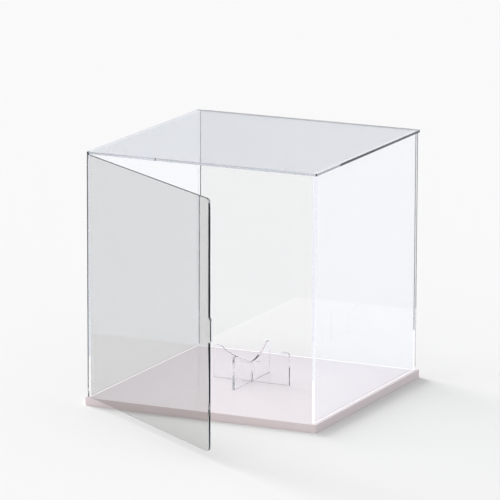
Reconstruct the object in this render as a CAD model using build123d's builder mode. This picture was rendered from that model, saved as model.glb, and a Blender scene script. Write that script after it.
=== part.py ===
from build123d import *
import os
from math import cos, radians, sin

# A free-standing display case for one football, in millimetres.  Clear sheets stand on a
# white base board, a clear door turns on two pivot pins at the front left corner, and a
# loose cross of two half-lapped sheets holds the ball.
# Origin: centre of the base board's underside.  +X right, +Y back, +Z up.

# ---- driving dimensions -------------------------------------------------------------
base_side = 300.0        # the base board is square
base_thickness = 10.0
base_corner = 1.5        # plan radius of its four corners
base_edge = 0.5          # rounding along its top edge
base_foot_edge = 0.4     # rounding along its bottom edge
sheet = 3.0              # thickness of every clear sheet
case_height = 305.0      # floor to the top of the case
left_inset = 3.5         # from the base board's edge to the left wall's outer face
right_inset = 4.9        # more on the right: the door's finger tab ends over the base board
back_inset = 3.3         # to the back wall's outer face
rear_inset = 0.7         # to the rear edges of the side walls and of the top sheet
top_inset = 2.0          # to the top sheet's other three edges
top_corner = 2.0         # plan radius of the top sheet's corners

glue_line = 0.05         # film of glue wherever two sheets, or a sheet and the board, meet
rest_gap = 0.02          # air film under the loose stand

hinge_inset = 4.0        # the pivot axis is this far in from both base edges
door_angle = 35.0        # the door stands this far open in the rest pose
door_reach = 290.7       # pivot axis to the door's free edge
door_gap_below = 0.4     # the door's running gap over the base board
door_gap_above = 0.6     # and under the top sheet
door_corner = 5.0        # radius of the two free corners
door_stop_gap = 0.85     # closed door to the side walls: its square hinge edge turns in this gap

handle_length = 30.0     # finger tab on the free edge, measured at its root
handle_reach = 4.0       # how far it stands out
handle_slope = 3.5       # how much each end of it slopes inward
handle_height = 151.0    # its middle, above the floor

shoulder_radius = 1.5    # the part of a pivot pin that is glued into the case
shoulder_in_base = 5.0
journal_radius = 0.9     # the part that the door turns on
journal_length = 6.0
journal_clearance = 0.05 # radial
pivot_end_gap = 0.5      # beyond the journal's end, inside the door

stand_x, stand_y = -7.0, 7.0   # where the loose stand rests, off the middle of the base
stand_span = 100.0       # tip to tip
stand_tip = 40.0         # height of the four tips
cradle_low = 24.4        # height of the cradle at the cross
cradle_radius = 60.0
tip_outer_round = 4.0
tip_inner_round = 3.0
lap_clearance = 0.05     # on each face of the half-lap slot

# ---- positions worked out from them ---------------------------------------------------
half_base = base_side / 2
top_underside = case_height - sheet
wall_bottom = base_thickness + glue_line
wall_height = top_underside - glue_line - wall_bottom
left_middle = -half_base + left_inset + sheet / 2
right_middle = half_base - right_inset - sheet / 2
back_middle = half_base - back_inset - sheet / 2
between_sides = right_middle - left_middle - sheet - 2 * glue_line
back_centre = (left_middle + right_middle) / 2

hinge_x = -half_base + hinge_inset
hinge_y = -half_base + hinge_inset
side_front = hinge_y + sheet / 2 + door_stop_gap
side_back = half_base - rear_inset
side_length = side_back - side_front
side_centre = (side_back + side_front) / 2

door_bottom = base_thickness + door_gap_below
door_top = top_underside - door_gap_above
door_height = door_top - door_bottom

os.makedirs("parts", exist_ok=True)


# ---- base board -------------------------------------------------------------------------
with BuildPart() as base_board:
    with BuildSketch():
        RectangleRounded(base_side, base_side, base_corner)
    extrude(amount=base_thickness)
    fillet(base_board.edges().group_by(Axis.Z)[-1], radius=base_edge)
    fillet(base_board.edges().group_by(Axis.Z)[0], radius=base_foot_edge)

    # blind hole for the lower pivot pin
    with Locations((hinge_x, hinge_y, base_thickness)):
        Hole(shoulder_radius + glue_line, depth=shoulder_in_base)

base_board.part.label = "base_board"
export_step(base_board.part, "parts/base_board.step")


# ---- side walls and back wall -----------------------------------------------------------
def upright_sheet(x, y, width, depth):
    """A clear sheet glued upright on the base board, centred on x, y in plan."""
    with BuildPart() as wall:
        with BuildSketch(Plane.XY.offset(wall_bottom)):
            with Locations((x, y)):
                Rectangle(width, depth)
        extrude(amount=wall_height)
    return wall


left_panel = upright_sheet(left_middle, side_centre, sheet, side_length)
left_panel.part.label = "left_panel"
export_step(left_panel.part, "parts/left_panel.step")

right_panel = upright_sheet(right_middle, side_centre, sheet, side_length)
right_panel.part.label = "right_panel"
export_step(right_panel.part, "parts/right_panel.step")

# the back wall is held between the two side walls, a little in from their rear edges
back_panel = upright_sheet(back_centre, back_middle, between_sides, sheet)
back_panel.part.label = "back_panel"
export_step(back_panel.part, "parts/back_panel.step")


# ---- top sheet --------------------------------------------------------------------------
with BuildPart() as top_panel:
    top_width = base_side - 2 * top_inset
    top_length = base_side - top_inset - rear_inset
    with BuildSketch(Plane.XY.offset(top_underside)):
        with Locations((0, (top_inset - rear_inset) / 2)):
            RectangleRounded(top_width, top_length, top_corner)
    extrude(amount=sheet)

    # through hole for the upper pivot pin
    with Locations((hinge_x, hinge_y, case_height)):
        Hole(shoulder_radius + glue_line)

top_panel.part.label = "top_panel"
export_step(top_panel.part, "parts/top_panel.step")


# ---- door -------------------------------------------------------------------------------
# The door's own plane: origin on the pivot axis at the door's bottom edge, x towards the
# free edge, y up.
door_direction = (cos(radians(door_angle)), -sin(radians(door_angle)), 0)
door_outward = (-sin(radians(door_angle)), -cos(radians(door_angle)), 0)
door_plane = Plane(origin=(hinge_x, hinge_y, door_bottom), x_dir=door_direction, z_dir=door_outward)

with BuildPart() as door_panel:
    handle_middle = handle_height - door_bottom
    handle_root = handle_length / 2
    handle_crest = handle_root - handle_slope
    with BuildSketch(door_plane) as door_face:
        with Locations((-sheet / 2, 0)):
            Rectangle(sheet / 2 + door_reach, door_height, align=(Align.MIN, Align.MIN))
        fillet(door_face.vertices().group_by(Axis.X)[-1], radius=door_corner)
        with BuildLine():
            Polyline(
                (door_reach, handle_middle - handle_root),
                (door_reach + handle_reach, handle_middle - handle_crest),
                (door_reach + handle_reach, handle_middle + handle_crest),
                (door_reach, handle_middle + handle_root),
                close=True,
            )
        make_face()
    extrude(amount=sheet / 2, both=True)

    # a blind hole in the bottom edge and in the top edge takes a pivot pin's journal
    pivot_depth = journal_length + pivot_end_gap
    with BuildSketch(Plane.XY.offset(door_bottom), Plane.XY.offset(door_top - pivot_depth)):
        with Locations((hinge_x, hinge_y)):
            Circle(journal_radius + journal_clearance)
    extrude(amount=pivot_depth, mode=Mode.SUBTRACT)

door_panel.part.label = "door_panel"
export_step(door_panel.part, "parts/door_panel.step")


# ---- pivot pins -------------------------------------------------------------------------
def pivot_pin(shoulder_start, shoulder_length, journal_step):
    """A stepped pin on the door's axis.  journal_step is +1 for a journal above the
    shoulder and -1 for one below it."""
    shoulder_end = shoulder_start + journal_step * shoulder_length
    with BuildPart() as pin:
        with BuildSketch(Plane.XY.offset(shoulder_start)):
            with Locations((hinge_x, hinge_y)):
                Circle(shoulder_radius)
        extrude(amount=journal_step * shoulder_length)
        with BuildSketch(Plane.XY.offset(shoulder_end)):
            with Locations((hinge_x, hinge_y)):
                Circle(journal_radius)
        extrude(amount=journal_step * journal_length)
    return pin


# the lower pin's shoulder stands proud of the base board and carries the door's weight
lower_pin = pivot_pin(base_thickness - shoulder_in_base, shoulder_in_base + door_gap_below, 1)
lower_pin.part.label = "lower_pivot_pin"
export_step(lower_pin.part, "parts/lower_pivot_pin.step")

# the upper pin is glued into the top sheet, flush with its top face
upper_pin = pivot_pin(case_height, sheet, -1)
upper_pin.part.label = "upper_pivot_pin"
export_step(upper_pin.part, "parts/upper_pivot_pin.step")


# ---- ball stand -------------------------------------------------------------------------
def stand_plate(plane, slot_bottom, slot_top):
    """One of the two crossed plates.  The slot takes the other plate."""
    with BuildPart() as plate:
        with BuildSketch(plane) as outline:
            Rectangle(stand_span, stand_tip, align=(Align.CENTER, Align.MIN))
            with Locations((0, cradle_low + cradle_radius)):
                Circle(cradle_radius, mode=Mode.SUBTRACT)
            tips = outline.vertices().group_by(Axis.Y)[-1].sort_by(Axis.X)
            fillet((tips[0], tips[-1]), radius=tip_outer_round)
            tips = outline.vertices().group_by(Axis.Y)[-1].sort_by(Axis.X)
            fillet(tips[1:3], radius=tip_inner_round)
            with Locations((0, slot_bottom)):
                Rectangle(
                    sheet + 2 * lap_clearance,
                    slot_top - slot_bottom,
                    align=(Align.CENTER, Align.MIN),
                    mode=Mode.SUBTRACT,
                )
        extrude(amount=sheet / 2, both=True)
    return plate


stand_origin = (stand_x, stand_y, base_thickness + rest_gap)
across_plane = Plane(origin=stand_origin, x_dir=(1, 0, 0), z_dir=(0, -1, 0))
along_plane = Plane(origin=stand_origin, x_dir=(0, 1, 0), z_dir=(1, 0, 0))
lap_height = cradle_low / 2

stand_lower = stand_plate(across_plane, lap_height, stand_tip)
stand_lower.part.label = "stand_plate_lower"
export_step(stand_lower.part, "parts/stand_plate_lower.step")

stand_upper = stand_plate(along_plane, 0, lap_height + lap_clearance)
stand_upper.part.label = "stand_plate_upper"
export_step(stand_upper.part, "parts/stand_plate_upper.step")
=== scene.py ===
import math

import bpy
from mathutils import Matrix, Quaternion, Vector


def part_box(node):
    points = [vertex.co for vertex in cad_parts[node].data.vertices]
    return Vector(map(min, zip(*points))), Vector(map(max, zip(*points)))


# A clear display case with a white base board, an open door and a loose ball stand, on a pale
# studio floor.  The CAD nodes stay in place; this script gives them smooth shading, fine
# facets along the stand's sawn edges and their materials, and sets the light and the camera.

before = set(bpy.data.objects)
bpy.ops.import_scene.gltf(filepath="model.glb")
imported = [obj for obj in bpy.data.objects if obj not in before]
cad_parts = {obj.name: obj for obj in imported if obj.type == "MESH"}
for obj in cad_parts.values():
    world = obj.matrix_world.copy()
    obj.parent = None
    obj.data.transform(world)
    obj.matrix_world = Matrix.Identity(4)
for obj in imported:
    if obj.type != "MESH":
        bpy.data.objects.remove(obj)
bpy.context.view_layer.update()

# ---- driving values -----------------------------------------------------------------------
MM = 0.001

WALLS = ("left_panel", "right_panel", "back_panel")
PIVOT_PINS = ("lower_pivot_pin", "upper_pivot_pin")
STAND_PLATES = ("stand_plate_lower", "stand_plate_upper")

# the meshes' finish
SEAM = 0.001 * MM            # points this close are one point
FLAT_ANGLE = 0.5             # degrees: neighbouring triangles this close to flat are one face
SMOOTH_ANGLE = 20.0          # degrees: sharper edges stay sharp
BROKEN_EDGE_ANGLE = 50.0     # degrees: sharper edges of the stand get a facet
BROKEN_EDGE = 0.25 * MM      # how far that facet runs into each face

# acrylic
ACRYLIC_IOR = 1.49
CASE_TINT = (0.995, 0.997, 1.0, 1.0)
DOOR_TINT = (0.955, 0.955, 0.95, 1.0)
STAND_TINT = (0.99, 0.992, 0.995, 1.0)
TOP_BOUNCE_KEPT = 0.977      # share of a ray left after each bounce inside the top sheet
REFLECTION_LOST = 0.7        # share of what a face reflects that the light behind it lacks
GLUE_LIMIT = 0.07 * MM       # just above the film of glue between a wall and the board
# painted light: the colour that the glued undersides of the walls glow with
GLUE_PAINTED_GLOW_COLOUR = (1.0, 0.99, 1.0, 1.0)
GLUE_PAINTED_GLOW = 1.35            # strength of the painted glow: the glued undersides give off light of their own, standing in for the light that the walls pipe down
MOST_BOUNCES = 64            # light runs a long way between a sheet's two faces

# the studio, as linear light
BACKDROP = 0.93              # what a direct look meets beyond the floor
FLOOR = 0.80
FLOOR_SPECKLE = 0.005        # lighter and darker than that
DOME = 0.80                  # the soft dome that lights matt surfaces
DOME_SLOPE = 0.5             # as much brighter on its bright side, and dimmer opposite
DOME_BRIGHT_SIDE = (-0.56, -0.83, 0.1)   # in front and on the left
CARD = 1.13                  # the white card that reflections meet
CARD_COLOUR = (0.92, 0.955, 1.03, 1.0)
CARD_SIDE = (0.35, 0.94, 0.0)    # behind the case and on its right
CARD_EDGES = (0.2, 0.75)     # cosines from CARD_SIDE: dark below the first, full above the second
CARD_HORIZON = (-0.05, 0.12)     # sines of the elevations between which the card dims
CARD_ABOVE = 0.67            # the share of its brightness left above the horizon
CARD_DARK = 0.03             # what reflections meet where there is no card


def grey(level):
    """A neutral colour of this brightness."""
    return (level, level, level, 1.0)


# ---- node trees ---------------------------------------------------------------------------
class Shader:
    """Builds one node tree: a material, the world or a modifier's node group.  Unless its
    docstring says otherwise, a method adds a node and returns its output socket."""

    def __init__(self, tree):
        self.tree = tree
        self.tree.nodes.clear()

    def node(self, kind, inputs=(), **settings):
        """Adds a node and returns the node.  inputs pairs its sockets, by name or by number,
        with values or with other nodes' output sockets."""
        made = self.tree.nodes.new(kind)
        for name, value in settings.items():
            setattr(made, name, value)
        for name, value in dict(inputs).items():
            socket = made.inputs[name]
            if isinstance(value, bpy.types.NodeSocket):
                self.tree.links.new(value, socket)
            else:
                socket.default_value = value
        return made

    def surface(self, shader):
        """Ends a material; returns nothing."""
        self.node("ShaderNodeOutputMaterial", {"Surface": shader})

    def maths(self, operation, *values):
        return self.node("ShaderNodeMath", enumerate(values), operation=operation).outputs[0]

    def ramp(self, value, low, high, to_low=0.0, to_high=1.0, smooth=True):
        """value mapped from low..high to to_low..to_high, held flat outside."""
        kind = "SMOOTHSTEP" if smooth else "LINEAR"
        numbers = enumerate((value, low, high, to_low, to_high))
        return self.node("ShaderNodeMapRange", numbers, interpolation_type=kind).outputs[0]

    def mix(self, factor, first, second):
        return self.node("ShaderNodeMixShader", {0: factor, 1: first, 2: second}).outputs[0]

    def blend_colour(self, factor, first, second, mode="MIX"):
        # the node has sockets for numbers and vectors too: 6 and 7, and output 2, are colours
        colours = {"Factor": factor, 6: first, 7: second}
        return self.node("ShaderNodeMix", colours, data_type="RGBA", blend_type=mode).outputs[2]

    def grey_level(self, level):
        """A neutral colour whose brightness is a socket's."""
        channels = {"Red": level, "Green": level, "Blue": level}
        return self.node("ShaderNodeCombineColor", channels).outputs[0]

    def noise(self, position, scale, detail=2.0):
        settings = {"Vector": position, "Scale": scale, "Detail": detail}
        return self.node("ShaderNodeTexNoise", settings).outputs[0]

    def bump(self, height, strength, distance):
        settings = {"Height": height, "Strength": strength, "Distance": distance}
        return self.node("ShaderNodeBump", settings).outputs[0]

    def component(self, vector, axis):
        """The X, Y or Z of a vector."""
        return self.node("ShaderNodeSeparateXYZ", {"Vector": vector}).outputs[axis]

    def facing(self, direction, towards):
        """Cosine of the angle between a direction and a fixed one."""
        fixed = Vector(towards).normalized()
        product = self.node("ShaderNodeVectorMath", {0: direction, 1: fixed}, operation="DOT_PRODUCT")
        return product.outputs["Value"]

    def bounced(self, rays):
        """1 once a ray has been reflected on its way from the camera, 0 before."""
        return self.maths("GREATER_THAN", rays.outputs["Glossy Depth"], 0.5)

    def mirrored(self, rays):
        """1 for what is seen in a reflection, 0 for what is seen directly or through a sheet."""
        seen = self.maths("MAXIMUM", rays.outputs["Is Glossy Ray"], rays.outputs["Is Transmission Ray"])
        return self.maths("MULTIPLY", seen, self.bounced(rays))


def new_material(name):
    made = bpy.data.materials.new(name)
    made.use_nodes = True
    return made, Shader(made.node_tree)


def dress(material, *nodes):
    """Gives CAD nodes their material."""
    for name in nodes:
        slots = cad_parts[name].data.materials
        slots.clear()
        slots.append(material)


# ---- the meshes' finish -------------------------------------------------------------------
def smooth_by_angle(limit):
    """A modifier's node group: shades a mesh smooth everywhere but over edges sharper than
    the limit."""
    group = bpy.data.node_groups.new("smooth_by_angle", "GeometryNodeTree")
    group.interface.new_socket("Geometry", in_out="INPUT", socket_type="NodeSocketGeometry")
    group.interface.new_socket("Geometry", in_out="OUTPUT", socket_type="NodeSocketGeometry")
    s = Shader(group)
    mesh = s.node("NodeGroupInput").outputs[0]
    rounded = s.node("GeometryNodeSetShadeSmooth", {"Geometry": mesh}, domain="FACE").outputs[0]
    edge_angle = s.node("GeometryNodeInputMeshEdgeAngle").outputs["Unsigned Angle"]
    soft = s.node(
        "FunctionNodeCompare",
        {0: edge_angle, 1: limit},
        data_type="FLOAT",
        operation="LESS_THAN",
    ).outputs[0]
    shaded = s.node(
        "GeometryNodeSetShadeSmooth",
        {"Geometry": rounded, "Shade Smooth": soft},
        domain="EDGE",
    ).outputs[0]
    s.node("NodeGroupOutput", {0: shaded})
    return group


def weld(node):
    """Joins a CAD node's faces along their common edges."""
    seams = node.modifiers.new("weld", "WELD")
    seams.merge_threshold = SEAM


def break_edges(node):
    """Takes the sharp edges of a sawn plate off with a narrow facet, as a scraper does."""
    flat = node.modifiers.new("join_flat_faces", "DECIMATE")
    flat.decimate_type = "DISSOLVE"
    flat.angle_limit = math.radians(FLAT_ANGLE)
    facet = node.modifiers.new("broken_edges", "BEVEL")
    facet.width = BROKEN_EDGE
    facet.segments = 1
    facet.limit_method = "ANGLE"
    facet.angle_limit = math.radians(BROKEN_EDGE_ANGLE)


smoothing = smooth_by_angle(math.radians(SMOOTH_ANGLE))
for node_name, cad_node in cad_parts.items():
    weld(cad_node)
    if node_name in STAND_PLATES:
        break_edges(cad_node)
    cad_node.modifiers.new("smooth_by_angle", "NODES").node_group = smoothing


# ---- clear sheets -------------------------------------------------------------------------
def light_through(s, geometry, tint):
    """What light and shadow meet: they go straight on, less most of what each face reflects,
    as the rest comes back from the other sheets."""
    # the Fresnel node turns the index over for a face met from inside, so it is turned over
    # beforehand
    outside = ACRYLIC_IOR
    inside = 1.0 / ACRYLIC_IOR
    index = s.ramp(geometry.outputs["Backfacing"], 0.0, 1.0, outside, inside, smooth=False)
    reflected = s.node("ShaderNodeFresnel", {"IOR": index}).outputs[0]
    lost = s.maths("MULTIPLY", reflected, REFLECTION_LOST)
    passed = s.blend_colour(lost, tint, grey(0.0))
    return s.node("ShaderNodeBsdfTransparent", {"Color": passed}).outputs[0]


def glue_with_painted_glow_below(s, place, for_light, surface):
    """The same surface, but with a painted white glow underneath to every look, where the glue is: an
    emission that stands in for the light there, though the part is no lamp.
    """
    board_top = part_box("base_board")[1].z
    underside = s.maths("LESS_THAN", s.component(place, "Z"), board_top + GLUE_LIMIT)
    for_eye = s.maths("SUBTRACT", 1.0, for_light)
    # painted light: the glued underside glows by its own emission
    painted_glow_shader = s.node("ShaderNodeEmission", {"Color": GLUE_PAINTED_GLOW_COLOUR, "Strength": GLUE_PAINTED_GLOW}).outputs[0]
    return s.mix(s.maths("MULTIPLY", underside, for_eye), surface, painted_glow_shader)


def clear_sheet(name, tint, waviness, bounce_kept=1.0, glued=False):
    """Cast acrylic: clear, polished on the faces and the edges.  bounce_kept is the share of
    a ray left after each bounce inside the sheet.  A glued sheet stands on the board, and its underside
    shows a painted white glow."""
    material, s = new_material(name)
    rays = s.node("ShaderNodeLightPath")
    geometry = s.node("ShaderNodeNewGeometry")
    place = geometry.outputs["Position"]

    # cast sheet is never dead flat: long soft ripples that only a reflection shows
    ripples_per_metre = 9.0
    ripple_height = 2.0 * MM
    normal = s.bump(s.noise(place, ripples_per_metre), waviness, ripple_height)

    # the tint counts where a ray passes the faces, not at each bounce between them
    glass_colour = s.blend_colour(s.bounced(rays), tint, grey(bounce_kept))
    glass = s.node(
        "ShaderNodeBsdfGlass",
        {"Color": glass_colour, "Roughness": 0.0, "IOR": ACRYLIC_IOR, "Normal": normal},
    ).outputs[0]

    for_light = s.maths("MAXIMUM", rays.outputs["Is Shadow Ray"], rays.outputs["Is Diffuse Ray"])
    surface = s.mix(for_light, glass, light_through(s, geometry, tint))
    if glued:
        surface = glue_with_painted_glow_below(s, place, for_light, surface)
    s.surface(surface)
    return material


wall_acrylic = clear_sheet("wall_acrylic", CASE_TINT, waviness=0.02, glued=True)
top_acrylic = clear_sheet("top_acrylic", CASE_TINT, waviness=0.02, bounce_kept=TOP_BOUNCE_KEPT)
door_acrylic = clear_sheet("door_acrylic", DOOR_TINT, waviness=0.02)
stand_acrylic = clear_sheet("stand_acrylic", STAND_TINT, waviness=0.01)
dress(wall_acrylic, *WALLS)
dress(top_acrylic, "top_panel")
dress(door_acrylic, "door_panel")
dress(stand_acrylic, *STAND_PLATES)


# ---- base board ---------------------------------------------------------------------------
def white_board():
    """Cast white board: polished on top, faintly warm, with satin sawn sides whose colour is darker than
    the top's as painted shade.
    """
    material, s = new_material("white_board")
    geometry = s.node("ShaderNodeNewGeometry")
    place = geometry.outputs["Position"]

    # from the sides to the top over the rounded edge, by how far the surface looks up
    side_ends = 0.6
    top_begins = 0.98
    on_top = s.ramp(s.component(geometry.outputs["Normal"], "Z"), side_ends, top_begins)

    clouds_per_metre = 14.0
    cloud = s.noise(place, clouds_per_metre, detail=3.0)
    top_colour = s.blend_colour(cloud, (0.895, 0.825, 0.85, 1.0), (0.915, 0.845, 0.87, 1.0))
    # painted shade: the sides get a darker colour than the top, set to how dark they look under the studio
    # light
    side_colour_painted_shade = s.blend_colour(cloud, (0.71, 0.62, 0.63, 1.0), (0.73, 0.64, 0.65, 1.0))

    grains_per_metre = 900.0
    grain_height = 0.2 * MM
    grain_strength = 0.02
    grain = s.noise(place, grains_per_metre, detail=4.0)

    side_roughness = 0.38
    top_roughness = 0.01
    grain_roughness = 0.02
    even_roughness = s.ramp(on_top, 0.0, 1.0, side_roughness, top_roughness, smooth=False)
    board = s.node(
        "ShaderNodeBsdfPrincipled",
        {
            "Base Color": s.blend_colour(on_top, side_colour_painted_shade, top_colour),
            "Roughness": s.maths("ADD", even_roughness, s.maths("MULTIPLY", grain, grain_roughness)),
            "IOR": ACRYLIC_IOR,
            "Normal": s.bump(grain, grain_strength, grain_height),
        },
    ).outputs[0]
    s.surface(board)
    return material


dress(white_board(), "base_board")


# ---- pivot pins ---------------------------------------------------------------------------
def turned_steel():
    """Stainless pin with fine rings left by the lathe."""
    material, s = new_material("turned_steel")
    place = s.node("ShaderNodeNewGeometry").outputs["Position"]
    ring_scale = 2500.0      # rings an eighth of a millimetre apart
    ring_height = 0.05 * MM
    ring_strength = 0.1
    rings = s.node(
        "ShaderNodeTexWave",
        {"Vector": place, "Scale": ring_scale, "Distortion": 1.0},
        bands_direction="Z",
    ).outputs[1]
    groove_roughness = 0.22
    crest_roughness = 0.34
    steel = s.node(
        "ShaderNodeBsdfPrincipled",
        {
            "Base Color": (0.56, 0.56, 0.58, 1.0),
            "Metallic": 1.0,
            "Roughness": s.ramp(rings, 0.0, 1.0, groove_roughness, crest_roughness),
            "Normal": s.bump(rings, ring_strength, ring_height),
        },
    ).outputs[0]
    s.surface(steel)
    return material


dress(turned_steel(), *PIVOT_PINS)


# ---- floor --------------------------------------------------------------------------------
def floor():
    """A pale matt floor.  Reflections in the case don't see it: they see the studio alone."""
    half_side = 12.0
    mesh = bpy.data.meshes.new("floor")
    corners = [
        (-half_side, -half_side, 0),
        (half_side, -half_side, 0),
        (half_side, half_side, 0),
        (-half_side, half_side, 0),
    ]
    mesh.from_pydata(corners, [], [(0, 1, 2, 3)])
    made = bpy.data.objects.new("floor", mesh)
    bpy.context.scene.collection.objects.link(made)

    material, s = new_material("studio_floor")
    rays = s.node("ShaderNodeLightPath")
    place = s.node("ShaderNodeNewGeometry").outputs["Position"]
    speckles_per_metre = 300.0
    speckle = s.noise(place, speckles_per_metre)
    colour = s.blend_colour(speckle, grey(FLOOR - FLOOR_SPECKLE), grey(FLOOR + FLOOR_SPECKLE))
    matt = s.node("ShaderNodeBsdfDiffuse", {"Color": colour}).outputs[0]
    unseen = s.node("ShaderNodeBsdfTransparent").outputs[0]
    s.surface(s.mix(s.mirrored(rays), matt, unseen))
    mesh.materials.append(material)


floor()


# ---- light --------------------------------------------------------------------------------
def reflected_studio(s, direction):
    """A white card behind the case and on its right, dimmer above the horizon, that fades
    into the dark on the left and in front."""
    bright = s.ramp(s.facing(direction, CARD_SIDE), *CARD_EDGES, CARD_DARK, CARD, smooth=False)
    above = s.ramp(s.component(direction, "Z"), *CARD_HORIZON)
    dimmed = s.maths("MULTIPLY", bright, s.ramp(above, 0.0, 1.0, 1.0, CARD_ABOVE, smooth=False))
    return s.blend_colour(1.0, dimmed, CARD_COLOUR, mode="MULTIPLY")


def studio_world():
    """The studio around the case.  Matt surfaces get a soft dome, brighter in front and on
    the left; a direct look meets the plain backdrop; a reflection meets the card."""
    world = bpy.data.worlds.new("studio")
    bpy.context.scene.world = world
    world.use_nodes = True
    s = Shader(world.node_tree)
    rays = s.node("ShaderNodeLightPath")
    direction = s.node("ShaderNodeTexCoord").outputs["Generated"]

    dome = s.maths("MULTIPLY_ADD", s.facing(direction, DOME_BRIGHT_SIDE), DOME_SLOPE, DOME)
    seen = s.blend_colour(s.mirrored(rays), grey(BACKDROP), reflected_studio(s, direction))
    camera_or_sheet = s.maths("MAXIMUM", rays.outputs["Is Camera Ray"], rays.outputs["Is Transmission Ray"])
    looked_at = s.maths("MAXIMUM", camera_or_sheet, rays.outputs["Is Glossy Ray"])
    colour = s.blend_colour(looked_at, s.grey_level(dome), seen)
    background = s.node("ShaderNodeBackground", {"Color": colour, "Strength": 1.0}).outputs[0]
    s.node("ShaderNodeOutputWorld", {"Surface": background})


def key_light():
    """A wide softbox, low on the left and a little behind."""
    elevation = math.radians(17.0)
    towards = Vector((-0.9 * math.cos(elevation), 0.44 * math.cos(elevation), math.sin(elevation)))
    lamp = bpy.data.lights.new("key", "SUN")
    lamp.energy = 3.8
    lamp.angle = math.radians(30.0)
    made = bpy.data.objects.new("key", lamp)
    made.rotation_mode = "QUATERNION"
    made.rotation_quaternion = towards.to_track_quat("Z", "Y")
    made.visible_glossy = False
    made.visible_transmission = False
    bpy.context.scene.collection.objects.link(made)


studio_world()
key_light()


# ---- camera -------------------------------------------------------------------------------
def camera():
    """A long lens, in front of the case, round to its right and a little above."""
    azimuth = math.radians(25.40)
    elevation = math.radians(12.404)
    roll = math.radians(0.181)
    distance = 5.6
    target = Vector((-8.3, 4.3, 171.0)) * MM
    back = Vector(
        (
            math.sin(azimuth) * math.cos(elevation),
            -math.cos(azimuth) * math.cos(elevation),
            math.sin(elevation),
        )
    )
    lens = bpy.data.cameras.new("camera")
    lens.lens = 339.07
    lens.sensor_width = 36.0
    lens.clip_end = 60.0
    made = bpy.data.objects.new("camera", lens)
    made.location = target + back * distance
    made.rotation_mode = "QUATERNION"
    made.rotation_quaternion = back.to_track_quat("Z", "Y") @ Quaternion((0, 0, 1), roll)
    bpy.context.scene.collection.objects.link(made)
    bpy.context.scene.camera = made


camera()


# ---- colours and bounces ------------------------------------------------------------------
scene = bpy.context.scene
scene.view_settings.view_transform = "Standard"
scene.view_settings.look = "None"
scene.cycles.max_bounces = MOST_BOUNCES
scene.cycles.glossy_bounces = MOST_BOUNCES
scene.cycles.transmission_bounces = MOST_BOUNCES
scene.cycles.transparent_max_bounces = MOST_BOUNCES
